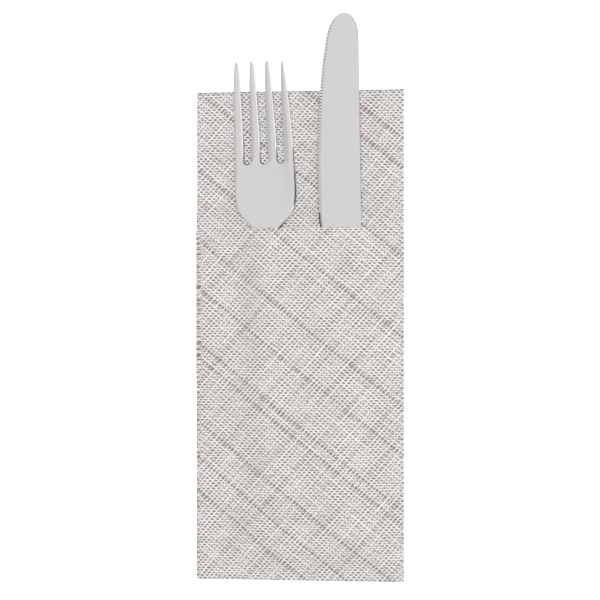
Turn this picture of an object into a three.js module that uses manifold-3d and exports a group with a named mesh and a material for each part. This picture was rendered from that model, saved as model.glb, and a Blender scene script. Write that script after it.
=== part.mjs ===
// A paper napkin folded into a cutlery pouch, with a table fork and a table knife in its pocket.
// Millimetres, +Z up. The pouch lies flat, and +Y runs from its bottom fold to its open top.
import * as THREE from "three";
import { mergeVertices } from "three/addons/utils/BufferGeometryUtils.js";
import Module from "manifold-3d";

// The sheet: a hem is turned in, the bottom is folded up over the back, and all is folded in four
const PANEL_WIDTH = 85;
const POUCH_LENGTH = 200;
const POCKET_DEPTH = 143.5;
const HEM_DEPTH = 56.5;
const PLY = 0.4;
const PITCH = 0.5;
const SETTLE = 12;
const LOOSE_EDGE_INSET = 0.6;

// The cutlery, in the pouch's own X and Y
const CLEARANCE = 0.3;
const FORK_LENGTH = 196;
const FORK_END = [-7.9, 15];
const FORK_LEAN = THREE.MathUtils.degToRad(2.3);
const KNIFE_LENGTH = 214.2;
const KNIFE_END = [18.9, 16];
const KNIFE_LEAN = THREE.MathUtils.degToRad(0.9);

// The fork's tines and slots
const TINES = 4;
const TINE_LENGTH = 40.7;
const OUTER_TINE_SHORT = 0.5;
const TINE_PITCH_ROOT = 6.85;
const TINE_PITCH_TIP = 6.2;
const TINE_CROWN = 3.2;
const TINE_OVERLAP = 2;
const SLOT_WIDTH = 2.9;

// The knife's heel, between its handle and its blade, and how its tip is thinned
const HEEL = [112, 134];
const TIP_TAPER = 7;
const TIP_THINNING = 0.55;

// The knife's serration
const TOOTH_PITCH = 1.24;
const TOOTH_DEPTH = 0.3;
const TOOTH_COUNT = 48;
const TEETH_START = 151.5;

// Facets
const TURN_FACETS = 6;
const CREASE_FACETS = 4;
const FRONT_COLUMNS = 16;
const SLOT_FACETS = 10;
const BODY_POINTS = 20;
const TINE_POINTS = 12;

const { lerp, smoothstep } = THREE.MathUtils;

// A smooth line through hand-set points, each a place and a value, that never overshoots them.
function through(...points) {
  const slope = points.slice(1).map(([x, v], i) => (v - points[i][1]) / (x - points[i][0]));
  const tangent = points.map((_, i) => {
    const before = slope[Math.max(i - 1, 0)];
    const after = slope[Math.min(i, slope.length - 1)];
    return before * after <= 0 ? 0 : (2 * before * after) / (before + after);
  });
  return (x) => {
    if (x <= points[0][0]) return points[0][1];
    const i = points.findIndex(([place]) => place >= x) - 1;
    if (i < 0) return points.at(-1)[1];
    const [[x0, v0], [x1, v1]] = [points[i], points[i + 1]];
    const span = x1 - x0;
    const t = (x - x0) / span;
    const fromStart = v0 + t * t * (3 - 2 * t) * (v1 - v0);
    const bend = t * (1 - t) * ((1 - t) * tangent[i] - t * tangent[i + 1]);
    return fromStart + span * bend;
  };
}

const steps = (count) => Array.from({ length: count + 1 }, (_, i) => i / count);

// A closed solid from its points, and its triangles as places in that list.
function solid(points, triangles) {
  const geometry = new THREE.BufferGeometry();
  geometry.setAttribute("position", new THREE.Float32BufferAttribute(points.flat(), 3));
  geometry.setIndex(triangles);
  return geometry;
}

// A skin over closed rings of equal count, with a fan on each end.
function loft(rings) {
  const count = rings[0].length;
  const points = rings.flat();
  const triangles = [];
  for (let r = 0; r + 1 < rings.length; r++) {
    for (let k = 0; k < count; k++) {
      const a = r * count + k;
      const b = r * count + ((k + 1) % count);
      triangles.push(a, b, b + count, a, b + count, a + count);
    }
  }
  const last = (rings.length - 1) * count;
  for (let k = 1; k + 1 < count; k++) {
    triangles.push(0, k + 1, k, last, last + k, last + k + 1);
  }
  return solid(points, triangles);
}

const wasm = await Module();
wasm.setup();

function toManifold(geometry) {
  const bare = geometry.clone();
  bare.deleteAttribute("normal");
  bare.deleteAttribute("uv");
  const merged = mergeVertices(bare, 1e-4);
  return new wasm.Manifold(
    new wasm.Mesh({
      numProp: 3,
      vertProperties: merged.attributes.position.array,
      triVerts: new Uint32Array(merged.index.array),
    }),
  );
}

function fromManifold(made) {
  const { vertProperties, triVerts } = made.getMesh();
  const geometry = new THREE.BufferGeometry();
  geometry.setAttribute("position", new THREE.BufferAttribute(vertProperties, 3));
  geometry.setIndex(new THREE.BufferAttribute(triVerts, 1));
  return geometry;
}

// Fork: heights and half sizes along its length, from the handle's end at 0
const forkHeight = through(
  [0, 4.8], [12, 5.1], [60, 6.3], [100, 7.3], [120, 7.0], [129, 6.4],
  [141, 4.4], [152, 3.2], [164, 3.9], [180, 6.4], [FORK_LENGTH, 9.6],
);
const forkHalfWidth = through(
  [0, 2.4], [1.2, 4.8], [4, 7], [8, 7.8], [14, 8], [40, 6.4], [80, 4], [105, 2.9], [122, 3],
  [126, 3.9], [129.5, 6.45], [132.3, 8.75], [135, 10.85], [138.4, 12.05], [144.5, 12.6], [155, 12.35],
  [169, 11.6], [184, 10.75],
);
const forkHalfThickness = through([0, 0.6], [4, 1.1], [12, 1.25], [110, 1.25], [135, 1], [160, 0.9]);
const forkCrown = through([110, 2], [135, 5]);
const forkDish = through([118, 0], [140, 0.011], [160, 0.011], [FORK_LENGTH, 0.006]);

// A flattened round: power 2 is an ellipse, and a higher one is nearer a plate.
function plateSection(count, halfWidth, halfThickness, power) {
  return Array.from({ length: count }, (_, k) => {
    const angle = (-2 * Math.PI * k) / count;
    const along = (value) => Math.sign(value) * Math.abs(value) ** (2 / power);
    return [halfWidth * along(Math.cos(angle)), halfThickness * along(Math.sin(angle))];
  });
}

function forkRing(y, centre, ...section) {
  return plateSection(...section).map(([x, z]) => [
    centre + x,
    y,
    forkHeight(y) + forkDish(y) * (centre + x) ** 2 + z,
  ]);
}

const tineX = (tine, y) => {
  const out = (FORK_LENGTH - y) / TINE_LENGTH;
  return (tine - (TINES - 1) / 2) * lerp(TINE_PITCH_TIP, TINE_PITCH_ROOT, out);
};

function forkBody() {
  const root = FORK_LENGTH - TINE_LENGTH;
  const places = [
    0, 0.5, 1.2, 2.4, 4, 6, 8, 11, 14, 20, 30, 40, 50, 60, 70, 80, 90, 100, 108, 115, 120, 123,
    126, 129, 132, 135, 138, 141, 144, 148, 152, 156, 160, 163,
  ];
  const rings = places.map((y) =>
    forkRing(y, 0, BODY_POINTS, forkHalfWidth(y), forkHalfThickness(y), forkCrown(y)),
  );
  let made = toManifold(loft(rings));
  for (let gap = 0; gap < TINES - 1; gap++) {
    const x = tineX(gap + 0.5, root);
    const radius = SLOT_WIDTH / 2;
    const outline = new THREE.Shape();
    outline.absarc(x, root + radius, radius, Math.PI, 2 * Math.PI, false);
    outline.lineTo(x + radius, FORK_LENGTH);
    outline.lineTo(x - radius, FORK_LENGTH);
    const cutter = new THREE.ExtrudeGeometry(outline, {
      depth: 2 * forkHeight(root),
      bevelEnabled: false,
      curveSegments: SLOT_FACETS,
    });
    made = made.subtract(toManifold(cutter));
  }
  return made;
}

function forkTine(tine) {
  const outer = tine === 0 || tine === TINES - 1;
  const length = TINE_LENGTH - (outer ? OUTER_TINE_SHORT : 0);
  const root = FORK_LENGTH - TINE_LENGTH;
  const tip = root + length;
  const halfWidth = through(
    [root, 1.97], [tip - 30, 1.82], [tip - 12, 1.25], [tip - 3, 0.68], [tip - 0.8, 0.42], [tip, 0.1],
  );
  const halfThickness = through([root, 0.92], [tip - 8, 0.72], [tip - 0.8, 0.45], [tip, 0.12]);
  const shortOfTip = [34.7, 28.7, 22.7, 16.7, 10.7, 6.7, 3.7, 1.2, 0.4, 0].map((short) => tip - short);
  const rings = [root - TINE_OVERLAP, root, ...shortOfTip].map((y) =>
    forkRing(y, tineX(tine, y), TINE_POINTS, halfWidth(y), halfThickness(y), TINE_CROWN),
  );
  return toManifold(loft(rings));
}

function fork() {
  let made = forkBody();
  for (let tine = 0; tine < TINES; tine++) made = made.add(forkTine(tine));
  return fromManifold(made);
}

// Knife: its edge on the left and its spine on the right, along its length from the handle's end
const knifeHeight = through([0, 5.9], [KNIFE_LENGTH, 7.5]);
const knifeLeft = through(
  [0, 2.6], [1, 4.6], [4, 7], [9, 8.2], [18, 8.5], [60, 8], [100, 7], [118, 6.4], [123.5, 7],
  [127.7, 8], [132.1, 8.45], [155, 8.7], [163, 8.3], [171, 8], [183.5, 7.1], [192, 6.25],
  [200.8, 4.95], [205.6, 4.1], [209.2, 2.85], [211.4, 1.55], [212.8, 0.3], [213.6, -0.8],
  [214, -1.7], [KNIFE_LENGTH, -2.3],
);
const knifeRight = through(
  [0, 2.6], [1, 4.6], [4, 7], [9, 8.2], [18, 8.5], [60, 8], [100, 7.4], [123.5, 8.3], [138, 8.6],
  [200.4, 8.6], [205.2, 8.5], [208.4, 8.1], [210.4, 7.45], [212, 6.55], [213.1, 5.6], [213.8, 4.55],
  [KNIFE_LENGTH, 3.5],
);
const handleHalf = through([0, 1.2], [5, 1.9], [14, 2.1], [44, 2.1], [71, 1.2], [128, 0.95]);
const bladeShare = (y) => smoothstep(y, ...HEEL);

// Half thickness across the knife, from 0 at its edge to 1 at its spine
const HANDLE_ACROSS = through([0, 0.25], [0.5, 1], [1, 0.25]);
const BLADE_ACROSS = through([0, 0.12], [0.12, 0.45], [0.42, 0.8], [0.95, 0.8], [1, 0.5]);
const ACROSS = [0, 0.12, 0.3, 0.5, 0.72, 0.93, 1];

function knifeRing(y, bite) {
  const left = -knifeLeft(y) + bite;
  const right = knifeRight(y);
  const end = 1 - TIP_THINNING * smoothstep(y, KNIFE_LENGTH - TIP_TAPER, KNIFE_LENGTH);
  const place = (share, side) => {
    const handle = handleHalf(y) * HANDLE_ACROSS(share);
    const half = lerp(handle, BLADE_ACROSS(share) * end, bladeShare(y));
    return [lerp(left, right, share), y, knifeHeight(y) + side * half];
  };
  const upper = ACROSS.map((share) => place(share, 1));
  const lower = ACROSS.toReversed().map((share) => place(share, -1));
  return [...upper, ...lower];
}

function knife() {
  const handle = [
    0, 0.4, 1, 2.2, 4, 6.5, 9, 13, 18, 30, 44, 54, 63, 72, 86, 100, 109, 115, 120, 124, 128.4,
    133, 142,
  ].map((y) => knifeRing(y, 0));
  const teeth = [];
  for (let tooth = 0; tooth < TOOTH_COUNT; tooth++) {
    const start = TEETH_START + tooth * TOOTH_PITCH;
    teeth.push(knifeRing(start, 0), knifeRing(start + TOOTH_PITCH / 2, TOOTH_DEPTH));
  }
  const tip = [3.1, 2.2, 1.4, 0.8, 0.4, 0.15, 0].map((short) => knifeRing(KNIFE_LENGTH - short, 0));
  return loft([...handle, ...teeth, ...tip]);
}

// The sheet's layers: how much of each lies at a height y up the pouch
const hemEnd = POCKET_DEPTH - HEM_DEPTH;
const flapShare = (y) => 1 - smoothstep(y, POCKET_DEPTH, POCKET_DEPTH + SETTLE);
const layerShare = {
  flap: flapShare,
  hem: (y) => smoothstep(y, hemEnd - SETTLE, hemEnd) * flapShare(y),
  back: () => 1,
};

// The stack from the table up, as panel and layer. Panel 2 is the front, with the open pocket
const STACK = [
  [1, "flap"], [1, "hem"], [1, "back"], [4, "back"], [4, "hem"], [4, "flap"],
  [3, "flap"], [3, "hem"], [3, "back"], [2, "back"], [2, "hem"], [2, "flap"],
];

function level(panel, layer, y) {
  const below = STACK.slice(0, STACK.findIndex(([p, l]) => p === panel && l === layer));
  return PLY / 2 + PITCH * below.reduce((sum, [, l]) => sum + layerShare[l](y), 0);
}

const stackCount = (y) => STACK.reduce((sum, [, l]) => sum + layerShare[l](y), 0);

// The middle of the nested turns on each side, so that the outermost one reaches the pouch's edge
function turnCentre(side, y) {
  const layers = side < 0 ? stackCount(y) : stackCount(y) / 2;
  return side * (PANEL_WIDTH / 2 - PLY / 2 - (PITCH * (layers - 1)) / 2);
}

// The flap's rise over the cutlery, as slopes between lines that run up the pouch
const FORK_HEADROOM = 1.75;
const KNIFE_HEADROOM = 0.5;
const KNIFE_RIDGE_LEFT = 1;
const RIGHT_FOOT_INSET = 1;
const SAG = 0.8;
const BRIDGE_X = 3;
const FADE = [1, 16];
const SOFTENING = [-3, -1.5, 0, 1.5, 3];
const forkX = (y) => FORK_END[0] - (y - FORK_END[1]) * Math.tan(FORK_LEAN);
const knifeX = (y) => KNIFE_END[0] - (y - KNIFE_END[1]) * Math.tan(KNIFE_LEAN);
const forkTop = (y) => forkHeight(y - FORK_END[1]) + FORK_HEADROOM;
const knifeTop = (y) =>
  knifeHeight(y - KNIFE_END[1]) + handleHalf(y - KNIFE_END[1]) + KNIFE_HEADROOM;
const forkFoot = through([12, -27], [74, -26], [114, -23], [130, -23], [144, -27]);
const forkShoulder = through([20, 3.2], [60, 2.6], [128, 2.2], [144, 5.5]);
const knifeShoulder = through([96, 1], [134, 6.5]);

function rise(x, y) {
  const over = (top) =>
    top + CLEARANCE + PLY / 2 + PITCH * layerShare.hem(y) - level(2, "flap", y);
  const forkRise = over(forkTop(y));
  const lines = [
    [-PANEL_WIDTH / 2, 0],
    [forkFoot(y), 0],
    [forkX(y) - forkShoulder(y), forkRise],
    [forkX(y) + forkShoulder(y), forkRise],
    [BRIDGE_X, forkRise - SAG],
    [knifeX(y) - KNIFE_RIDGE_LEFT, over(knifeTop(y))],
    [knifeX(y) + knifeShoulder(y), over(knifeTop(y))],
    [PANEL_WIDTH / 2 - RIGHT_FOOT_INSET, 0],
  ];
  const after = lines.findIndex(([place]) => place > x);
  if (after <= 0) return 0;
  const [[x0, z0], [x1, z1]] = [lines[after - 1], lines[after]];
  return lerp(z0, z1, (x - x0) / (x1 - x0)) * smoothstep(y, ...FADE);
}

const softRise = (x, y) =>
  SOFTENING.reduce((sum, shift) => sum + rise(x + shift, y), 0) / SOFTENING.length;

// Places along the sheet: up the hem, over the pocket's edge, down the flap and up the back
function sheetPlaces() {
  const places = [];
  const radius = PITCH / 2;
  const pocketTurn = POCKET_DEPTH - PLY / 2 - radius;
  const bottomTurn = PLY / 2 + radius;
  const run = (layer, ...ys) => {
    for (const y of ys) places.push({ y, from: layer, to: layer, turn: 0 });
  };
  const crease = (from, to, centre, way) => {
    for (const part of steps(CREASE_FACETS).slice(1, -1)) {
      const angle = Math.PI * part;
      const turn = (1 - Math.cos(angle)) / 2;
      places.push({ y: centre + way * radius * Math.sin(angle), from, to, turn });
    }
  };
  run("hem", hemEnd, 100, 114, 128, 138, pocketTurn);
  crease("hem", "flap", pocketTurn, 1);
  run("flap", pocketTurn, 138, 128, 114, 100, hemEnd, 82, 76, 60, 44, 30, 20, 14, 9, 4, bottomTurn);
  crease("flap", "back", bottomTurn, -1);
  run("back", bottomTurn, 40, 76, 82, hemEnd, 116, POCKET_DEPTH, 147, 150, 153, 156, 178);
  run("back", POUCH_LENGTH);
  return places;
}

// Places across the sheet: four flat panels, joined by half turns on the left, right and left
function acrossPlaces() {
  const places = [];
  const flat = (panel, ...shares) => {
    for (const share of shares) places.push({ panel, share });
  };
  const turn = (from, to, side) => {
    for (const part of steps(TURN_FACETS).slice(1, -1)) {
      places.push({ from, to, side, angle: Math.PI * part });
    }
  };
  flat(1, 1, 0);
  turn(1, 2, -1);
  flat(2, ...steps(FRONT_COLUMNS));
  turn(2, 3, 1);
  flat(3, 1, 0);
  turn(3, 4, -1);
  flat(4, 0, 1);
  return places;
}

// The middle of the sheet's thickness at a place along it and a place across it
function middle(along, across) {
  const { y, from, to, turn } = along;
  const height = (panel) => lerp(level(panel, from, y), level(panel, to, y), turn);
  if (across.panel) {
    const loose = across.share === 1 && (across.panel === 1 || across.panel === 4);
    const right = loose ? PANEL_WIDTH / 2 - LOOSE_EDGE_INSET : turnCentre(1, y);
    const x = lerp(turnCentre(-1, y), right, across.share);
    const lifts = across.panel === 2 && from !== "back" && across.share > 0 && across.share < 1;
    return new THREE.Vector3(x, y, height(across.panel) + (lifts ? softRise(x, y) : 0));
  }
  const start = height(across.from);
  const end = height(across.to);
  return new THREE.Vector3(
    turnCentre(across.side, y) + (across.side * Math.abs(start - end) * Math.sin(across.angle)) / 2,
    y,
    (start + end) / 2 + ((start - end) * Math.cos(across.angle)) / 2,
  );
}

function napkin() {
  const along = sheetPlaces();
  const across = acrossPlaces();
  const grid = along.map((a) => across.map((b) => middle(a, b)));
  const at = (i, j) =>
    grid[THREE.MathUtils.clamp(i, 0, along.length - 1)][
      THREE.MathUtils.clamp(j, 0, across.length - 1)
    ];
  const face = (way) =>
    grid.flatMap((row, i) =>
      row.map((point, j) => {
        const lengthwise = at(i + 1, j).clone().sub(at(i - 1, j));
        const crosswise = at(i, j + 1).clone().sub(at(i, j - 1));
        const out = lengthwise.cross(crosswise).normalize();
        return point.clone().addScaledVector(out, (way * PLY) / 2).toArray();
      }),
    );
  const count = across.length;
  const rows = along.length;
  const under = rows * count;
  const triangles = [];
  const quad = (a, b, c, d) => triangles.push(a, b, c, a, c, d);
  for (let i = 0; i + 1 < rows; i++) {
    for (let j = 0; j + 1 < count; j++) {
      const a = i * count + j;
      quad(a, a + count, a + count + 1, a + 1);
      quad(under + a, under + a + 1, under + a + count + 1, under + a + count);
    }
    const left = i * count;
    const right = left + count - 1;
    quad(left, under + left, under + left + count, left + count);
    quad(right, right + count, under + right + count, under + right);
  }
  for (let j = 0; j + 1 < count; j++) {
    const far = (rows - 1) * count + j;
    quad(j, j + 1, under + j + 1, under + j);
    quad(far, under + far, under + far + 1, far + 1);
  }
  return solid([...face(1), ...face(-1)], triangles);
}

function piece(name, geometry, material, [x, y] = [0, 0], lean = 0) {
  const mesh = new THREE.Mesh(geometry, material);
  mesh.name = name;
  mesh.position.set(x, y, 0);
  mesh.rotation.z = lean;
  return mesh;
}

const paper = new THREE.MeshStandardMaterial({ color: 0xcdc8c6, roughness: 0.95, metalness: 0 });
const steel = new THREE.MeshStandardMaterial({ color: 0xd0d0d0, roughness: 0.22, metalness: 1 });

// The origin is under the middle of the whole, from the bottom fold to the knife's tip
const pouch = new THREE.Group();
pouch.position.y = -(KNIFE_END[1] + KNIFE_LENGTH * Math.cos(KNIFE_LEAN)) / 2;
pouch.add(piece("napkin", napkin(), paper));
pouch.add(piece("fork", fork(), steel, FORK_END, FORK_LEAN));
pouch.add(piece("table_knife", knife(), steel, KNIFE_END, KNIFE_LEAN));

const cutleryPouch = new THREE.Group();
cutleryPouch.add(pouch);

export default cutleryPouch;
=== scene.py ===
# A paper napkin folded into a cutlery pouch, with a steel fork and a steel table knife in its
# pocket. Sizes are millimetres in the pouch's own frame, as in the CAD source: X across, Y up from
# the bottom fold, Z up off the table. One function turns them into the frame's metres.
import math

import bpy
from mathutils import Matrix, Vector, geometry


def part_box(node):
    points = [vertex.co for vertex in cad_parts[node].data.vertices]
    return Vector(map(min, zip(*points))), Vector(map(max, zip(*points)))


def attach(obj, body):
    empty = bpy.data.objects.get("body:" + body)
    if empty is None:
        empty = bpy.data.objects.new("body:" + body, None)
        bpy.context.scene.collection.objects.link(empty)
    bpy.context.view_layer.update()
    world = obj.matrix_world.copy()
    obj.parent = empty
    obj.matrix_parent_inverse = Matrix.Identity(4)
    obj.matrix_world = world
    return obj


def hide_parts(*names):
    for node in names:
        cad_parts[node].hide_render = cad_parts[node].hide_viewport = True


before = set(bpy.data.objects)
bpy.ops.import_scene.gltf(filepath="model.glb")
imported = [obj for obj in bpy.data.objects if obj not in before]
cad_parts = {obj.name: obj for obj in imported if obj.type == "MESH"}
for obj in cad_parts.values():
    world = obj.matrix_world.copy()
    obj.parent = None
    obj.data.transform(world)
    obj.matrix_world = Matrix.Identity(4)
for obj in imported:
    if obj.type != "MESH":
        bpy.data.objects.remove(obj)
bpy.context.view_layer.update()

MM = 0.001
BOTTOM_FOLD_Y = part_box("napkin")[0].y

# The sheet: a hem is turned in, the bottom is folded up over the back, and all is folded in four.
PANEL_WIDTH = 85
POUCH_LENGTH = 200
POCKET_DEPTH = 143.5
HEM_DEPTH = 56.5
PLY = 0.4
PITCH = 0.5
SETTLE = 12
LOOSE_EDGE_INSET = 0.6

# The cutlery, with how far each tine from the left stops short of the fork's length
CLEARANCE = 0.3
FORK_LENGTH = 196
FORK_END = (-7.9, 15)
FORK_LEAN = math.radians(2.3)
KNIFE_LENGTH = 214.2
KNIFE_END = (18.9, 16)
KNIFE_LEAN = math.radians(0.9)
TINES = 4
TINE_LENGTH = 40.7
TINE_PITCH_ROOT = 6.85
TINE_PITCH_TIP = 6.2
TINE_SHORT = (0.1, 0, 0, 0.5)
SLOT_WIDTH = 2.9
TOOTH_PITCH = 1.24
TOOTH_COUNT = 48
TEETH_START = 151.5

# The camera, above the pouch and a little to its right
CAMERA_DISTANCE = 500
CAMERA_SWING = math.radians(5)
CAMERA_Y = 102.2
LENS = 73.06
SENSOR_WIDTH = 36
SHIFT_UP = 0.05


def lerp(start, end, share):
    return start + (end - start) * share


def clamp(value, low, high):
    return min(max(value, low), high)


def smoothstep(value, low, high):
    share = clamp((value - low) / (high - low), 0, 1)
    return share * share * (3 - 2 * share)


def through(*points):
    """A smooth line through given points, each a place and a value, that never passes them."""
    pairs = list(zip(points, points[1:]))
    slopes = [(v1 - v0) / (x1 - x0) for (x0, v0), (x1, v1) in pairs]

    def tangent(i):
        before, after = slopes[max(i - 1, 0)], slopes[min(i, len(slopes) - 1)]
        return 0 if before * after <= 0 else 2 * before * after / (before + after)

    tangents = [tangent(i) for i in range(len(points))]

    def value(x):
        if x <= points[0][0]:
            return points[0][1]
        if x >= points[-1][0]:
            return points[-1][1]
        i = next(k for k, (place, _) in enumerate(points) if place >= x) - 1
        (x0, v0), (x1, v1) = pairs[i]
        span = x1 - x0
        t = (x - x0) / span
        bend = t * (1 - t) * ((1 - t) * tangents[i] - t * tangents[i + 1])
        return v0 + t * t * (3 - 2 * t) * (v1 - v0) + span * bend

    return value


def steps(count, start=0.0, end=1.0):
    """Evenly spaced values from start to end, both included."""
    return [lerp(start, end, i / count) for i in range(count + 1)]


def in_frame(point):
    """A point of the pouch, in millimetres, as a point of the frame, in metres."""
    x, y, z = point
    return Vector((x * MM, y * MM + BOTTOM_FOLD_Y, z * MM))


def piece(name, points, faces, node, material):
    """A smooth-shaded mesh piece that stands for a CAD node, which it hides, and wears the material
    it is given.
    """
    mesh = bpy.data.meshes.new(name)
    mesh.from_pydata([in_frame(point) for point in points], [], faces)
    mesh.validate()
    mesh.polygons.foreach_set("use_smooth", [True] * len(mesh.polygons))
    mesh.materials.append(material)
    made = bpy.data.objects.new(name, mesh)
    bpy.context.scene.collection.objects.link(made)
    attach(made, "root")
    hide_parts(node)
    return made


class Value:
    """A shader socket that joins in sums: each operator adds a Math node."""

    def __init__(self, finish, socket):
        self.finish = finish
        self.socket = socket

    def math(self, operation, *others, clamped=False):
        values = dict(enumerate((self, *others)))
        return self.finish.add("Math", {"operation": operation, "use_clamp": clamped}, values)

    def __add__(self, other):
        return self.math("ADD", other)

    def __sub__(self, other):
        return self.math("SUBTRACT", other)

    def __mul__(self, other):
        return self.math("MULTIPLY", other)

    def __rsub__(self, other):
        return self.finish.add("Math", {"operation": "SUBTRACT"}, {0: other, 1: self})

    __radd__ = __add__
    __rmul__ = __mul__


class Finish:
    """The nodes of one material, or of the world."""

    def __init__(self, owner):
        owner.use_nodes = True
        self.tree = owner.node_tree
        self.tree.nodes.clear()

    def add(self, kind, settings=None, sockets=None, output=0):
        """A node of a kind, with its settings, then its sockets' values or links."""
        node = self.tree.nodes.new("ShaderNode" + kind)
        for name, setting in (settings or {}).items():
            setattr(node, name, setting)
        for name, value in (sockets or {}).items():
            if isinstance(value, Value):
                self.tree.links.new(value.socket, node.inputs[name])
            else:
                node.inputs[name].default_value = value
        return Value(self, node.outputs[output]) if node.outputs else None

    def noise(self, place, scale, detail=2.0):
        return self.add("TexNoise", {}, {"Vector": place, "Scale": scale, "Detail": detail})

    def noises(self, place, scale):
        """Three noises at once, each about 0."""
        sockets = {"Vector": place, "Scale": scale, "Detail": 0.0}
        colour = self.add("TexNoise", {}, sockets, output=1)
        return [self.add("SeparateColor", {}, {0: colour}, output=k) - 0.5 for k in range(3)]

    def ramp(self, value, low, high, start=0.0, end=1.0):
        """A smooth step from start to end as a value goes from low to high."""
        sockets = {"Value": value, "From Min": low, "From Max": high}
        sockets |= {"To Min": start, "To Max": end}
        return self.add("MapRange", {"interpolation_type": "SMOOTHSTEP"}, sockets)

    def mix(self, share, first, second):
        sockets = {0: share, 6: first, 7: second}
        return self.add("Mix", {"data_type": "RGBA"}, sockets, output=2)


def grey(level):
    return (level, level, level, 1.0)


# Paper print: white threads on two slants and in level rows, over warm grey. A slant is in degrees
# from +X, a count is threads to a millimetre, a width is the share of the spacing that a thread
# covers, and a seed sets one kind's unevenness apart from another's
PRINT_PLACE = "print_place"
PRINTED = "printed"
RISING = {"slant": 49.07, "count": 0.6783, "width": 0.25, "uneven": 0.65, "seed": 3.5}
FALLING = {"slant": 140.77, "count": 0.6816, "width": 0.25, "uneven": 0.65, "seed": 71.5}
ROWS = {"slant": 180.0, "count": 0.958, "width": 0.3, "uneven": 0.4, "seed": 33.5}
THREAD_SOFTNESS = 0.12
THREAD_RUN = 0.12
THREAD_SWAY = 0.8
THREAD_SWELL = 1.1
SPOT_SWELL = 1.4
THREAD_WHITE = (0.785, 0.78, 0.772, 1.0)
GAP_GREY = (0.262, 0.205, 0.19, 1.0)

# Dark lines along both slants, as places across the slant in millimetres. Each thins its own slant's
# threads and the level rows, so that the grey shows, and swells the other slant's threads
RISING_DARK = (-128, -106, -95, -84, -70, -59, -51, -41.5, -31, -17.5, -7.5, 9)
FALLING_DARK = (2, 12.5, 24, 44.5, 49, 66.5, 81.5, 103.5, 128.5, 156.5, 166)
DARK_PERIOD = 200
RISING_DARK_WIDTH = 0.75
FALLING_DARK_WIDTH = 1.1
RISING_DARK_DEPTH = 0.75
PATCH_CONTRAST = 1.6
PATCH_LEAST = 0.2
RISING_THINNING = 0.9
FALLING_THINNING = 1.2
ROW_THINNING = 0.7
CROSSING_SWELL = 0.2

# Paper fibres, as a bump that is lower in the print's gaps
FIBRES_TO_MM = 6.0
FIBRE_HEIGHT = 0.1 * MM
GAP_DEPTH = 0.4


def paper():
    material = bpy.data.materials.new("linen_look_paper")
    finish = Finish(material)
    place = finish.add("Attribute", {"attribute_name": PRINT_PLACE}, output=1)
    printed = finish.add("Attribute", {"attribute_name": PRINTED}, output=2)
    x = finish.add("SeparateXYZ", {}, {0: place}, output=0)
    y = finish.add("SeparateXYZ", {}, {0: place}, output=1)
    spots = finish.noise(place, scale=1.2, detail=0.0) - 0.5

    def across(kind):
        slant = math.radians(kind["slant"])
        return x * math.sin(slant) - y * math.cos(slant)

    def open_share(kind, width):
        """The share left open between threads, whose width and place change slowly along them."""
        slant = math.radians(kind["slant"])
        along = x * math.cos(slant) + y * math.sin(slant)
        sockets = {0: across(kind), 1: along * THREAD_RUN, 2: kind["seed"]}
        run = finish.add("CombineXYZ", {}, sockets)
        shift, swell, _ = finish.noises(run, scale=0.5)
        sway = finish.noise(run, scale=0.04, detail=0.0) - 0.5
        phase = across(kind) * kind["count"] + sway * THREAD_SWAY + shift * kind["uneven"]
        thread = (swell * THREAD_SWELL + spots * SPOT_SWELL + 1.0) * kind["width"] * width
        from_thread = phase.math("PINGPONG", 0.5) * 2 - thread
        return finish.ramp(from_thread, -THREAD_SOFTNESS, THREAD_SOFTNESS)

    def dark(kind, lines, width):
        """How strong a slant's dark lines are, which come and go in patches all over the sheet."""
        first = lines[0] - 1
        wrapped = across(kind).math("WRAP", first + DARK_PERIOD, first)
        nearest = DARK_PERIOD
        for line in lines:
            nearest = (wrapped - line).math("ABSOLUTE").math("MINIMUM", nearest)
        patches = finish.noise(place, scale=0.2, detail=1.0) * PATCH_CONTRAST + PATCH_LEAST
        on_line = finish.ramp(nearest, low=0.0, high=width, start=1.0, end=0.0)
        return (on_line * patches).math("MINIMUM", 1.0)

    rising = dark(RISING, RISING_DARK, RISING_DARK_WIDTH) * RISING_DARK_DEPTH
    falling = dark(FALLING, FALLING_DARK, FALLING_DARK_WIDTH)
    gap = open_share(RISING, (1 + falling * CROSSING_SWELL) * (1 - rising * RISING_THINNING))
    gap *= open_share(FALLING, (1 + rising * CROSSING_SWELL) * (1 - falling * FALLING_THINNING))
    gap *= open_share(ROWS, (1 - falling) * (1 - rising * ROW_THINNING))
    gap *= printed
    colour = finish.mix(gap, THREAD_WHITE, GAP_GREY)
    height = finish.noise(place, FIBRES_TO_MM, detail=3.0) - gap * GAP_DEPTH
    bump = finish.add("Bump", {}, {"Strength": 0.3, "Distance": FIBRE_HEIGHT, "Height": height})
    shader = finish.add(
        "BsdfPrincipled",
        {},
        {"Base Color": colour, "Roughness": 0.95, "Specular IOR Level": 0.2, "Normal": bump},
    )
    finish.add("OutputMaterial", {}, {"Surface": shader})
    return material


# Steel: polished. Where the knife's mesh marks them, the toothed edge, which is rougher, gets a pale
# painted highlight, and the scallops and heel notch get black painted shade
GROUND_AND_HIGHLIGHT = "ground_and_highlight"
PAINTED_SHADE = "painted_shade"
STEEL_GREYS = (0.635, 0.65)
HIGHLIGHT_GREY = 0.92
PAINTED_SHADE_GREY = 0.0
STEEL_ROUGHNESS = (0.15, 0.2)
GROUND_ROUGHNESS = 0.1
GRAIN_HEIGHT = 0.02 * MM


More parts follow.
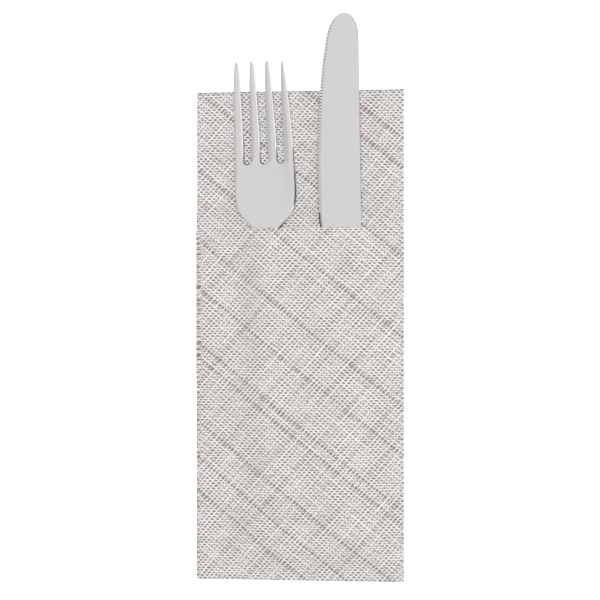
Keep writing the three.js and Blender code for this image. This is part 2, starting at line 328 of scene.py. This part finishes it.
def steel(name):
    material = bpy.data.materials.new(name)
    finish = Finish(material)
    place = finish.add("TexCoord", output=3)
    ground_and_highlight = finish.add("Attribute", {"attribute_name": GROUND_AND_HIGHLIGHT}, output=2)
    painted_shade = finish.add("Attribute", {"attribute_name": PAINTED_SHADE}, output=2)
    cloud = finish.noise(place, scale=60.0, detail=3.0)
    grain = finish.noise(place, scale=900.0)
    body = finish.mix(cloud, grey(STEEL_GREYS[0]), grey(STEEL_GREYS[1]))
    # Painted highlight: the toothed edge is made paler than the body, and below it is also made
    # rougher
    highlighted = finish.mix(ground_and_highlight, body, grey(HIGHLIGHT_GREY))
    roughness = finish.ramp(cloud, 0.2, 0.8, *STEEL_ROUGHNESS) + ground_and_highlight * GROUND_ROUGHNESS
    bump = finish.add("Bump", {}, {"Strength": 0.02, "Distance": GRAIN_HEIGHT, "Height": grain})
    shader = finish.add(
        "BsdfPrincipled",
        {},
        {
            # Painted shade: black wherever the knife's mesh marks its scallops and heel notch
            "Base Color": finish.mix(painted_shade, highlighted, grey(PAINTED_SHADE_GREY)),
            "Metallic": 1.0,
            "Roughness": roughness,
            "Normal": bump,
        },
    )
    finish.add("OutputMaterial", {}, {"Surface": shader})
    return material


# Fork: heights and half sizes along its length, from the handle's end at 0
fork_height = through(
    (0, 4.8), (12, 5.1), (60, 6.3), (100, 7.3), (120, 7.0), (129, 6.4),
    (141, 4.4), (152, 3.2), (164, 3.9), (180, 6.4), (FORK_LENGTH, 9.6),
)  # fmt: skip
fork_half_width = through(
    (0, 2.4), (1.2, 4.8), (4, 7), (8, 7.8), (14, 8), (40, 6.4), (80, 4), (105, 2.9), (122, 3),
    (126, 3.9), (129.5, 6.45), (132.3, 8.75), (135, 10.85), (138.4, 12.05), (144.5, 12.6),
    (155, 12.35),
)  # fmt: skip
fork_half_thickness = through(
    (0, 0.8), (4, 1.1), (12, 1.25), (110, 1.25), (135, 1), (160, 0.9), (188, 0.72),
    (FORK_LENGTH, 0.3),
)  # fmt: skip
fork_dish = through((118, 0), (140, 0.006), (160, 0.006), (FORK_LENGTH, 0.005))
THINNEST = 0.05

# How wide the fork's rounded edge is up to the tines' root, and on the tines, where it also stays
# within a share of the half width
TINE_ROOT = FORK_LENGTH - TINE_LENGTH
fork_edge_width = through(
    (0, 1), (6, 1.8), (16, 3), (110, 2.2), (135, 1.6), (142, 2), (156, 2), (162, 1.5)
)
TINE_EDGE_WIDTH = 1.5
TINE_EDGE_SHARE = 0.8

# How far an edge of a set width drops below the skin, from its rim at 0 to the flat at 1. The drop is
# gentler on the tines above their roots, and where the way into the fork turns to the right, which
# is on edges that face left
DROP_WIDTH = 1.3
edge_drop = through((0, 0.46), (0.04, 0.4), (0.36, 0.05), (0.5, 0.02), (1, 0))
gentle_edge_drop = through((0, 0.24), (0.03, 0.21), (0.36, 0.03), (0.5, 0.01), (1, 0))
EDGE_LOOPS = (0, 0.02, 0.05, 0.1, 0.18, 0.26, 0.33, 0.38, 0.44, 0.54, 0.7, 0.85, 1)
GENTLE_FROM = (TINE_ROOT + 4.5, TINE_ROOT + 6.5)
GENTLE_FACING = (0.1, 0.6)

# The ridges along the tines, which end near the root between tines and further down outside them
FORK_PALM = 12.6
RIDGE_SLOPE = 0.17
RIDGE_SOFTNESS = 0.3
OUTER_RIDGE_END = (TINE_ROOT - 8, TINE_ROOT - 4)
INNER_RIDGE_END = (TINE_ROOT - 1, TINE_ROOT + 3)

# Half a tine's width by how far short of its tip it is, with some tips made blunter, and the places
# near a tip that its point has
tine_taper = through((0, 0.12), (0.8, 0.42), (3, 0.68), (12, 1.25), (30, 1.82), (TINE_LENGTH, 1.97))
BLUNTING = 0.17
BLUNT_REACH = (8, 20)
POINT_LENGTH = 2
POINT_SHORTS = (1.4, 0.8, 0.4, 0.15, 0)
SLOT_FACETS = 12

# Spots over the fork's flat that its mesh is spanned between
SPOT_SPACING = 1.3
SPOT_MARGIN = 0.45


def tine_x(tine, y):
    out = (FORK_LENGTH - y) / TINE_LENGTH
    return (tine - (TINES - 1) / 2) * lerp(TINE_PITCH_TIP, TINE_PITCH_ROOT, out)


def tine_tip(tine):
    return FORK_LENGTH - TINE_SHORT[tine]


def tine_half_width(tine, y):
    """Half a tine's width, with a slimmer point on the last tine."""
    short = tine_tip(tine) - y
    blunt = 0 if tine == TINES - 1 else BLUNTING * (1 - smoothstep(short, *BLUNT_REACH))
    return tine_taper(short) + blunt


def fork_outline():
    """The fork's outline: from the handle's end up its right, round the tines and down its left."""
    end_round = [0, 0.15, 0.5, 1.2, 2.4, 4, 6, 8, 11, 14]
    handle = [20, 28, 36, 44, 52, 60, 68, 76, 84, 92, 100, 106]
    neck = steps(30, 110, TINE_ROOT)
    right = [(fork_half_width(y), y) for y in end_round + handle + neck[:-1]]
    tips = []
    radius = SLOT_WIDTH / 2
    slot_end = TINE_ROOT + radius
    for tine in reversed(range(TINES)):
        up = steps(22, slot_end, tine_tip(tine) - POINT_LENGTH)
        point = [tine_tip(tine) - short for short in POINT_SHORTS]
        sides = [(tine_half_width(tine, y), y) for y in up + point]
        tips += [(tine_x(tine, y) + half, y) for half, y in sides]
        tips += [(tine_x(tine, y) - half, y) for half, y in reversed(sides)]
        if tine > 0:
            left_wall = tine_x(tine - 1, slot_end) + tine_half_width(tine - 1, slot_end)
            right_wall = tine_x(tine, slot_end) - tine_half_width(tine, slot_end)
            centre, reach = (left_wall + right_wall) / 2, (right_wall - left_wall) / 2
            for part in steps(SLOT_FACETS)[1:-1]:
                angle = math.pi * part
                tips.append((centre + reach * math.cos(angle), slot_end - radius * math.sin(angle)))
    left = [(-x, y) for x, y in reversed(right)]
    return right + tips + left


def inward(outline):
    """For each point of a closed outline that runs anticlockwise, the unit way into it."""
    ways = []
    for i, (x, y) in enumerate(outline):
        before, after = Vector(outline[i - 1]), Vector(outline[(i + 1) % len(outline)])
        here = Vector((x, y))
        first, second = (here - before).normalized(), (after - here).normalized()
        along = (first + second).normalized()
        ways.append(Vector((-along.y, along.x)))
    return ways


def ridge_drop(x, y):
    """How far the skin falls from the ridge along a tine, or along the palm's side below it."""
    centres = [tine_x(tine, y) for tine in range(TINES)]
    outside = abs(x) - centres[-1]
    if outside > 0:
        share = smoothstep(y, *OUTER_RIDGE_END)
        away = max(abs(x) - lerp(FORK_PALM, centres[-1], share), 0)
    else:
        share = smoothstep(y, *INNER_RIDGE_END)
        away = min(abs(x - centre) for centre in centres) * share
    return RIDGE_SLOPE * (math.hypot(away, RIDGE_SOFTNESS) - RIDGE_SOFTNESS)


def fork_points(flat, side, inset, scales, gentle):
    """Points on the fork's upper or lower skin, at an inset from 0 at an edge to 1 on the flat.

    Each point has a scale for its edge's drop, and a share of the gentle drop.
    """
    made = []
    for (x, y), scale, share in zip(flat, scales, gentle):
        drop = lerp(edge_drop(inset), gentle_edge_drop(inset), share) * scale
        half = max(fork_half_thickness(y) - drop - ridge_drop(x, y), THINNEST)
        made.append((x, y, fork_height(y) + fork_dish(y) * x * x + side * half))
    return made


def turned(points, end, lean):
    turn = Matrix.Rotation(lean, 3, "Z")
    shift = Vector((*end, 0))
    return [turn @ Vector(point) + shift for point in points]


def fork():
    outline = fork_outline()
    ways = inward(outline)
    count = len(outline)

    def edge_width(y):
        if y <= TINE_ROOT:
            return fork_edge_width(y)
        return min(TINE_EDGE_WIDTH, tine_half_width(0, y) * TINE_EDGE_SHARE)

    def loop_at(inset):
        """The outline moved in, by a share of its edge's width at each point."""
        ways_in = [way * width * inset for way, width in zip(ways, widths)]
        return [tuple(Vector(point) + way_in) for point, way_in in zip(outline, ways_in)]

    widths = [edge_width(y) for _, y in outline]
    scales = [width / DROP_WIDTH for width in widths]
    gentle = [
        max(smoothstep(y, *GENTLE_FROM), smoothstep(way.x, *GENTLE_FACING))
        for (_, y), way in zip(outline, ways)
    ]
    loops = [loop_at(inset) for inset in EDGE_LOOPS]
    inner = loops[-1]
    edges = [(i, (i + 1) % count) for i in range(count)]
    inside = [spot for spot in fork_spots() if well_inside(spot, inner, SPOT_MARGIN)]
    cap = geometry.delaunay_2d_cdt([Vector(spot) for spot in inner + inside], edges, [], 1, 1e-6)
    flat, triangles = [tuple(spot) for spot in cap[0]], cap[2]
    points, faces = [], []
    rings = {}
    for side in (1, -1):
        for k, loop in enumerate(loops[:-1]):
            rings[side, k] = len(points)
            points += fork_points(loop, side, EDGE_LOOPS[k], scales, gentle)
        rings[side, len(loops) - 1] = len(points)
        points += fork_points(flat, side, 1, [1] * len(flat), [0] * len(flat))
        for k in range(len(loops) - 1):
            faces += band(rings[side, k], rings[side, k + 1], count, side)
        base = rings[side, len(loops) - 1]
        for triangle in triangles:
            corners = tuple(base + corner for corner in triangle)
            faces.append(corners if side > 0 else corners[::-1])
    faces += band(rings[-1, 0], rings[1, 0], count, 1)
    placed = turned(points, FORK_END, FORK_LEAN)
    return piece("fork_polished", placed, faces, "fork", steel("fork_steel"))


def band(low, high, count, side):
    """Faces between two closed rings of points, facing out on the side given."""
    quads = []
    for i in range(count):
        j = (i + 1) % count
        quad = (low + i, low + j, high + j, high + i)
        quads.append(quad if side > 0 else quad[::-1])
    return quads


def fork_spots():
    """Evenly staggered spots over the fork's width and length."""
    reach = int(FORK_PALM / SPOT_SPACING) + 1
    return [
        (SPOT_SPACING * (column + 0.5 * (row % 2)), SPOT_SPACING * (row + 0.5))
        for row in range(int(FORK_LENGTH / SPOT_SPACING))
        for column in range(-reach, reach + 1)
    ]


def well_inside(spot, outline, margin):
    """Whether a spot is inside a closed outline and at least a margin from its sides."""
    x, y = spot
    within = False
    for (x0, y0), (x1, y1) in zip(outline, outline[1:] + outline[:1]):
        if (y0 > y) != (y1 > y) and x < x0 + (y - y0) * (x1 - x0) / (y1 - y0):
            within = not within
        if min(y0, y1) - margin <= y <= max(y0, y1) + margin:
            side = Vector((x1 - x0, y1 - y0))
            along = Vector((x - x0, y - y0)).dot(side) / max(side.length_squared, 1e-9)
            along = clamp(along, 0, 1)
            if math.hypot(x0 + side.x * along - x, y0 + side.y * along - y) < margin:
                return False
    return within


# Knife: its edge on the left and its spine on the right, along its length from the handle's end
knife_height = through((0, 5.9), (KNIFE_LENGTH, 7.5))
knife_left = through(
    (0, 2.6), (1, 4.6), (4, 7), (9, 8.2), (18, 8.5), (60, 8), (100, 7), (118, 6.4), (123.5, 7),
    (127.7, 8), (132.1, 8.45), (155, 8.7), (163, 8.3), (171, 8), (183.5, 7.1), (192, 6.25),
    (200.8, 4.95),
)  # fmt: skip
knife_right = through(
    (0, 2.6), (1, 4.6), (4, 7), (9, 8.2), (18, 8.5), (60, 8), (100, 7.4), (123.5, 8.3), (138, 8.6),
    (200.4, 8.6), (205.2, 8.5),
)  # fmt: skip
handle_half = through((0, 1.2), (5, 1.9), (14, 2.1), (44, 2.1), (71, 1.2), (128, 0.95))
handle_across = through((0, 0.25), (0.5, 1), (1, 0.25))

# The knife's tip: where it lies, the reach and depth of its quarter ellipses, and where the left
# one joins the edge
TIP_X = 2.9
TIP_LEFT = (7.9, 16)
TIP_RIGHT = (5.6, 9)
TIP_JOIN = 0.75

# Where the handle grows into the blade, up to its heel, and the blade's half thickness: at the edge,
# at the top of its bevel, and on the flat
HEEL = (112, 134)
EDGE_HALF = 0.12
BEVEL_HALF = 0.45
BLADE_HALF = 0.8
BEVEL_WIDTH = 1.1
WEDGE_WIDTH = 7
SPINE_ROUND = 0.3

# The teeth, which fade in up the blade, and the notch at its heel, as cuts into the upper skin that
# run out between two insets from the edge
TEETH_END = TEETH_START + TOOTH_PITCH * TOOTH_COUNT
TEETH_IN = (TEETH_START, TEETH_START + 25)
TEETH_OUT = (TEETH_END - 1, TEETH_END)
TOOTH_ROWS = 10
TOOTH_DEPTH = 0.3
TOOTH_SET_BACK = 0.1
NOTCH_WIDTH = 0.8
NOTCH_DEPTH = 0.35
NOTCH_IN = (HEEL[1] - 7, HEEL[1] - 6)
NOTCH_OUT = (HEEL[1] - 0.6, HEEL[1])
CUT_FADE = (0.55, NOTCH_WIDTH)
THINNEST_EDGE = 0.04

# Where painted shade darkens the steel and where a painted highlight lightens the toothed edge: how
# deep in a scallop, and how far in
SHADE_IN_SCALLOP = (0.55, 0.8)
SHADE_IN_NOTCH = (0.3, 0.45)
GROUND_AND_HIGHLIGHT_FADE = (0.6, 1)

# Points round the knife: insets from its edge, within a share of its width, then more such shares
KNIFE_INSETS = (0, 0.015, 0.15, 0.3, 0.45, 0.55, 0.68, NOTCH_WIDTH, BEVEL_WIDTH, 1.6)
INSET_SHARE = 0.15
KNIFE_SHARES = (0.16, 0.25, 0.36, 0.5, 0.64, 0.76, 0.86, 0.93, 0.97, 0.986, 0.994, 1)
KNIFE_TIP_SHORTS = (2.9, 2.5, 2.1, 1.7, 1.3, 0.95, 0.65, 0.4, 0.2, 0.08, 0.02)


def round_end(reach, depth, short):
    """The half width of a rounded end, a distance short of its tip."""
    return reach * math.sqrt(max(1 - (1 - min(short / depth, 1)) ** 2, 0))


def knife_sides(y):
    """The knife's edge and spine at a height y, with its tip as two quarter ellipses."""
    short = KNIFE_LENGTH - y
    left, right = -knife_left(y), knife_right(y)
    if short < TIP_LEFT[1]:
        share = smoothstep(short, TIP_JOIN * TIP_LEFT[1], TIP_LEFT[1])
        left = lerp(TIP_X - round_end(*TIP_LEFT, short), left, share)
    if short < TIP_RIGHT[1]:
        right = TIP_X + round_end(*TIP_RIGHT, short)
    return left, right


def blade_half(from_edge, from_spine):
    """Half the blade's thickness: a bevel up from the edge, and a small round at the spine."""
    bevel = lerp(EDGE_HALF, BEVEL_HALF, min(from_edge / BEVEL_WIDTH, 1))
    wedge = lerp(0, BLADE_HALF - BEVEL_HALF, smoothstep(from_edge, BEVEL_WIDTH, WEDGE_WIDTH))
    spine = SPINE_ROUND * (1 - min(from_spine / SPINE_ROUND, 1)) ** 2
    return bevel + wedge - spine


def knife_ring(y):
    """The points round the knife at a height, and at each point how much painted shade and how much
    of the toothed edge's painted highlight it has.
    """
    left, right = knife_sides(y)
    width = right - left
    blade = smoothstep(y, *HEEL)
    toothed = smoothstep(y, *TEETH_IN) * (1 - smoothstep(y, *TEETH_OUT))
    scallop = 0.5 - 0.5 * math.cos(math.tau * (y - TEETH_START) / TOOTH_PITCH)
    notch = smoothstep(y, *NOTCH_IN) * (1 - smoothstep(y, *NOTCH_OUT))
    insets = [min(inset, INSET_SHARE * width) for inset in KNIFE_INSETS]
    insets += [share * width for share in KNIFE_SHARES]
    upper, lower, marks = [], [], []
    for inset in insets:
        handle = handle_half(y) * handle_across(inset / width)
        half = lerp(handle, blade_half(inset, width - inset), blade)
        at_edge = 1 - smoothstep(inset, *CUT_FADE)
        cut = (toothed * scallop * TOOTH_DEPTH + notch * NOTCH_DEPTH) * at_edge
        cut = min(cut, 2 * half - THINNEST_EDGE)
        set_back = toothed * scallop * TOOTH_SET_BACK * at_edge
        upper.append((left + inset + set_back, y, knife_height(y) + half - cut))
        lower.append((left + inset, y, knife_height(y) - half))
        # Painted shade, deep in the scallops and along the heel notch's edge
        tooth_shade = toothed * smoothstep(scallop, *SHADE_IN_SCALLOP) * at_edge
        notch_shade = notch * (1 - smoothstep(inset, *SHADE_IN_NOTCH))
        # Painted highlight along the toothed edge, which is also rougher there
        ground_and_highlight = toothed * (1 - smoothstep(inset, *GROUND_AND_HIGHLIGHT_FADE))
        marks.append((max(tooth_shade, notch_shade), ground_and_highlight))
    return upper + lower[::-1], marks + [(0, 0)] * len(lower)


def knife():
    places = steps(24, 0, 18) + steps(70, 19, HEEL[1] - 9) + steps(70, HEEL[1] - 8, TEETH_START)
    places += steps(TOOTH_ROWS * TOOTH_COUNT, TEETH_START, TEETH_END)[1:]
    places += [KNIFE_LENGTH - short for short in KNIFE_TIP_SHORTS]
    rings = [knife_ring(y) for y in places]
    points = [point for ring, _ in rings for point in ring]
    marks = [mark for _, ring_marks in rings for mark in ring_marks]
    count = len(rings[0][0])
    last = (len(rings) - 1) * count
    faces = [tuple(range(count)), tuple(range(last + count - 1, last - 1, -1))]
    for r in range(len(rings) - 1):
        faces += band(r * count, (r + 1) * count, count, 1)
    placed = turned(points, KNIFE_END, KNIFE_LEAN)
    finish = steel("knife_steel")
    made = piece("knife_polished", placed, faces, "table_knife", finish)
    # The marks for painted shade, and for the toothed edge with its painted highlight
    for k, name in enumerate((PAINTED_SHADE, GROUND_AND_HIGHLIGHT)):
        attribute = made.data.attributes.new(name, "FLOAT", "POINT")
        attribute.data.foreach_set("value", [float(mark[k]) for mark in marks])
    return made


# The sheet's layers from the table up, each a panel and a layer of it, and the heights at which the
# nested turns along the pouch's sides narrow from all the layers to the back's own
HEM_END = POCKET_DEPTH - HEM_DEPTH
TURNS_NARROW = (POCKET_DEPTH - 0.8, POCKET_DEPTH + 1.2)
STACK = [
    (1, "flap"), (1, "hem"), (1, "back"), (4, "back"), (4, "hem"), (4, "flap"),
    (3, "flap"), (3, "hem"), (3, "back"), (2, "back"), (2, "hem"), (2, "flap"),
]  # fmt: skip


def layer_share(layer, y):
    """How much of a layer lies at a height y up the pouch."""
    if layer == "back":
        return 1
    flap = 1 - smoothstep(y, POCKET_DEPTH, POCKET_DEPTH + SETTLE)
    return flap if layer == "flap" else smoothstep(y, HEM_END - SETTLE, HEM_END) * flap


def stack_height(layers, y):
    return sum(layer_share(layer, y) for _, layer in layers)


def level(panel, layer, y):
    return PLY / 2 + PITCH * stack_height(STACK[: STACK.index((panel, layer))], y)


def turn_centre(side, y):
    """The middle of the nested turns on a side, the widest of which reaches the pouch's edge."""
    layers = stack_height(STACK, y) * (1 if side < 0 else 0.5)
    widest = PITCH * (layers - 1) / 2
    back = (level(2, "back", y) - level(1 if side < 0 else 3, "back", y)) / 2
    radius = lerp(widest, back, smoothstep(y, *TURNS_NARROW))
    return side * (PANEL_WIDTH / 2 - PLY / 2 - radius)


# The flap's rise over the cutlery, as slopes between lines that run up the pouch
FORK_HEADROOM = 1.75
KNIFE_HEADROOM = 0.5
KNIFE_RIDGE_LEFT = 1
RIGHT_FOOT_INSET = 1
fork_foot = through((12, -27), (74, -26), (114, -23), (130, -23), (144, -27))
fork_shoulder = through((20, 3.2), (60, 2.6), (128, 2.2), (144, 5.5))
knife_shoulder = through((96, 1), (134, 6.5))
SAG = 0.8
BRIDGE_X = 3
FADE = (1, 16)
SOFTENING = 3


def rise(x, y):
    """How far the flap is lifted over the cutlery, softened across the pouch."""
    fork_x = FORK_END[0] - (y - FORK_END[1]) * math.tan(FORK_LEAN)
    knife_x = KNIFE_END[0] - (y - KNIFE_END[1]) * math.tan(KNIFE_LEAN)
    flap = CLEARANCE + PLY / 2 + PITCH * layer_share("hem", y) - level(2, "flap", y)
    over_fork = fork_height(y - FORK_END[1]) + FORK_HEADROOM + flap
    knife_top = knife_height(y - KNIFE_END[1]) + handle_half(y - KNIFE_END[1])
    over_knife = knife_top + KNIFE_HEADROOM + flap
    lines = [
        (-PANEL_WIDTH / 2, 0),
        (fork_foot(y), 0),
        (fork_x - fork_shoulder(y), over_fork),
        (fork_x + fork_shoulder(y), over_fork),
        (BRIDGE_X, over_fork - SAG),
        (knife_x - KNIFE_RIDGE_LEFT, over_knife),
        (knife_x + knife_shoulder(y), over_knife),
        (PANEL_WIDTH / 2 - RIGHT_FOOT_INSET, 0),
    ]

    def straight(place):
        if not lines[0][0] < place < lines[-1][0]:
            return 0
        i = next(k for k, (line, _) in enumerate(lines) if line > place)
        (x0, z0), (x1, z1) = lines[i - 1], lines[i]
        return lerp(z0, z1, (place - x0) / (x1 - x0))

    samples = steps(12, x - SOFTENING, x + SOFTENING)
    softened = sum(straight(place) for place in samples) / len(samples)
    return softened * smoothstep(y, *FADE)


# Facets of the sheet's folds, how near the pocket's edge its rows are closer together, and the
# length of print that a turn takes up
TURN_FACETS = 12
CREASE_FACETS = 8
NEAR_EDGE = 4
TURN_PRINT = 2


def sheet_places():
    """Places along the sheet: up the hem, over the pocket's edge, down the flap and up the back."""
    radius = PITCH / 2
    pocket_turn = POCKET_DEPTH - PLY / 2 - radius
    bottom_turn = PLY / 2 + radius
    places = []

    def run(layer, *ys):
        places.extend((y, layer, layer, 0) for y in ys)

    def crease(start, end, centre, way):
        for part in steps(CREASE_FACETS)[1:-1]:
            angle = math.pi * part
            y = centre + way * radius * math.sin(angle)
            places.append((y, start, end, (1 - math.cos(angle)) / 2))

    run("hem", *steps(20, HEM_END, pocket_turn))
    crease("hem", "flap", pocket_turn, 1)
    run("flap", *steps(70, pocket_turn, bottom_turn))
    crease("flap", "back", bottom_turn, -1)
    run("back", bottom_turn, *steps(16, 10, POCKET_DEPTH - 10))
    run("back", *steps(20, POCKET_DEPTH - NEAR_EDGE, POCKET_DEPTH + NEAR_EDGE))
    run("back", *steps(34, POCKET_DEPTH + NEAR_EDGE + 1.5, POUCH_LENGTH))
    return places


def across_places():
    """Places across the sheet: four panels, joined by half turns on the left, right and left."""
    places = []

    def flat(panel, *shares):
        places.extend((panel, panel, 0, share) for share in shares)

    def turn(start, end, side):
        parts = steps(TURN_FACETS)[1:-1]
        places.extend((start, end, side, math.pi * part) for part in parts)

    flat(1, *steps(8, 1, 0))
    turn(1, 2, -1)
    flat(2, *steps(84))
    turn(2, 3, 1)
    flat(3, *steps(8, 1, 0))
    turn(3, 4, -1)
    flat(4, *steps(8, 0, 1))
    return places


def middle(along, across):
    """The middle of the sheet's thickness at a place along it and a place across it."""
    y, from_layer, to_layer, turn = along
    start_panel, end_panel, side, share = across

    def height(panel):
        return lerp(level(panel, from_layer, y), level(panel, to_layer, y), turn)

    if side == 0:
        loose = start_panel in (1, 4)
        right = PANEL_WIDTH / 2 - LOOSE_EDGE_INSET if loose else turn_centre(1, y)
        x = lerp(turn_centre(-1, y), right, share)
        lifts = start_panel == 2 and from_layer != "back" and 0 < share < 1
        return Vector((x, y, height(start_panel) + (rise(x, y) if lifts else 0)))
    start, end = height(start_panel), height(end_panel)
    return Vector((
        turn_centre(side, y) + side * abs(start - end) * math.sin(share) / 2,
        y,
        (start + end) / 2 + (start - end) * math.cos(share) / 2,
    ))  # fmt: skip


def print_across(across, x):
    """How far across the unfolded sheet a place is, from the middle of the front panel."""
    start_panel, end_panel, side, share = across
    if side == 0:
        return {1: -PANEL_WIDTH - x, 2: x, 3: PANEL_WIDTH - x, 4: 2 * PANEL_WIDTH + x}[start_panel]
    fold = {1: -PANEL_WIDTH / 2, 2: PANEL_WIDTH / 2, 3: 3 * PANEL_WIDTH / 2}[start_panel]
    return fold + (share / math.pi - 0.5) * TURN_PRINT


def print_along(along):
    """How far along the unfolded sheet a place is, from the bottom fold."""
    y, from_layer, to_layer, turn = along
    places = {"hem": 2 * POCKET_DEPTH - y, "flap": y, "back": -y}
    return lerp(places[from_layer], places[to_layer], turn)


def napkin():
    along, across = sheet_places(), across_places()
    grid = [[middle(a, b) for b in across] for a in along]
    rows, count = len(along), len(across)
    points, print_places = [], []
    for way in (1, -1):
        for i in range(rows):
            for j in range(count):
                lengthwise = grid[min(i + 1, rows - 1)][j] - grid[max(i - 1, 0)][j]
                crosswise = grid[i][min(j + 1, count - 1)] - grid[i][max(j - 1, 0)]
                out = lengthwise.cross(crosswise).normalized()
                points.append(grid[i][j] + out * (way * PLY / 2))
                print_x = print_across(across[j], grid[i][j].x)
                print_places.append((print_x, way * print_along(along[i]), 0))
    under = rows * count
    faces, rims = [], []
    for i in range(rows - 1):
        for j in range(count - 1):
            a = i * count + j
            faces.append((a, a + count, a + count + 1, a + 1))
            faces.append((under + a, under + a + 1, under + a + count + 1, under + a + count))
        left, right = i * count, i * count + count - 1
        rims.append((left, under + left, under + left + count, left + count))
        rims.append((right, right + count, under + right + count, under + right))
    for j in range(count - 1):
        far = (rows - 1) * count + j
        rims.append((j, j + 1, under + j + 1, under + j))
        rims.append((far, under + far, under + far + 1, far + 1))
    made = piece("napkin_folded", points, faces + rims, "napkin", paper())
    place = made.data.attributes.new(PRINT_PLACE, "FLOAT_VECTOR", "POINT")
    place.data.foreach_set("vector", [value for spot in print_places for value in spot])
    printed = made.data.attributes.new(PRINTED, "FLOAT", "FACE")
    printed.data.foreach_set("value", [1.0] * len(faces) + [0.0] * len(rims))
    return made


# The studio: a white floor that glows a little, and what the steel reflects. Its reach is in metres
FLOOR_REACH = 3
FLOOR_GREYS = (0.93, 0.95)
FLOOR_GLOW = 0.3
WALL_LIGHT = 1.015
STRIP_LIGHT = 0.6
DIM_LOSS = 0.22
DARK_LOSS = 0.95
SEEN_LIGHT = 1.05


def floor():
    mesh = bpy.data.meshes.new("studio_floor")
    turns = ((-1, -1), (1, -1), (1, 1), (-1, 1))
    corners = [(FLOOR_REACH * x, FLOOR_REACH * y, 0) for x, y in turns]
    mesh.from_pydata(corners, [], [(0, 1, 2, 3)])
    material = bpy.data.materials.new("floor_white")
    finish = Finish(material)
    place = finish.add("TexCoord", output=3)
    haze = finish.noise(place, scale=2.0)
    sockets = {
        "Base Color": finish.mix(haze, grey(FLOOR_GREYS[0]), grey(FLOOR_GREYS[1])),
        "Roughness": 0.9,
        "Emission Color": grey(1.0),
        "Emission Strength": FLOOR_GLOW,
    }
    shader = finish.add("BsdfPrincipled", {}, sockets)
    finish.add("OutputMaterial", {}, {"Surface": shader})
    mesh.materials.append(material)
    made = bpy.data.objects.new("studio_floor", mesh)
    bpy.context.scene.collection.objects.link(made)
    return made


def room():
    """A white room that only the steel reflects: a bright strip right, dim left, dark low down."""
    world = bpy.data.worlds.new("studio")
    bpy.context.scene.world = world
    world.cycles_visibility.diffuse = False
    finish = Finish(world)
    way = finish.add("TexCoord", output=0)

    def patch(azimuth, elevation, inner, outer):
        """A round patch of the room, full within the inner angle and gone past the outer one."""
        azimuth, elevation = math.radians(azimuth), math.radians(elevation)
        flat = math.cos(elevation)
        aim = (flat * math.cos(azimuth), flat * math.sin(azimuth), math.sin(elevation))
        facing = finish.add("VectorMath", {"operation": "DOT_PRODUCT"}, {0: way, 1: aim}, output=1)
        return finish.ramp(facing, math.cos(math.radians(outer)), math.cos(math.radians(inner)))

    strip = patch(azimuth=14, elevation=38, inner=16, outer=24)
    dim = patch(azimuth=180, elevation=30, inner=38, outer=46)
    dark = patch(azimuth=36, elevation=12, inner=32, outer=34)
    dark += patch(azimuth=70, elevation=6, inner=20, outer=30)
    dark = dark.math("MINIMUM", 1.0)
    walls = (WALL_LIGHT + strip * STRIP_LIGHT - dim * DIM_LOSS) * (1 - dark * DARK_LOSS)
    seen = finish.add("LightPath", output=0)
    strength = walls * (1 - seen) + seen * SEEN_LIGHT
    shader = finish.add("Background", {}, {"Color": grey(1.0), "Strength": strength})
    finish.add("OutputWorld", {}, {"Surface": shader})


def lamp(name, azimuth, elevation, distance, size, power):
    """A square soft lamp for the paper and the floor, which the steel doesn't reflect."""
    made = bpy.data.objects.new(name, bpy.data.lights.new(name, "AREA"))
    bpy.context.scene.collection.objects.link(made)
    made.data.size = size
    made.data.energy = power
    made.visible_glossy = False
    swing = Matrix.Rotation(math.radians(azimuth), 4, "Z")
    tip = Matrix.Rotation(math.radians(90 - elevation), 4, "Y")
    made.matrix_world = swing @ tip @ Matrix.Translation((0, 0, distance))


def camera():
    data = bpy.data.cameras.new("photo_camera")
    made = bpy.data.objects.new("photo_camera", data)
    bpy.context.scene.collection.objects.link(made)
    bpy.context.scene.camera = made
    data.lens = LENS
    data.sensor_width = SENSOR_WIDTH
    data.shift_y = SHIFT_UP
    target = in_frame((0, CAMERA_Y, 0))
    back = Vector((math.sin(CAMERA_SWING), 0, math.cos(CAMERA_SWING)))
    made.location = target + back * CAMERA_DISTANCE * MM
    made.rotation_euler = (0, CAMERA_SWING, 0)
    data.clip_start, data.clip_end = 0.01, 20


camera()
room()
lamp("lamp_overhead", azimuth=0, elevation=86, distance=1.0, size=0.3, power=7.4)
lamp("lamp_wide", azimuth=0, elevation=80, distance=1.2, size=1.4, power=5.1)
lamp("lamp_right", azimuth=-10, elevation=40, distance=1.0, size=0.6, power=1.5)
lamp("lamp_left", azimuth=175, elevation=35, distance=1.0, size=0.6, power=1.35)
stage = floor()
sheet = napkin()
fork()
knife()

bpy.context.scene.view_settings.view_transform = "Standard"
bpy.context.scene.view_settings.look = "None"
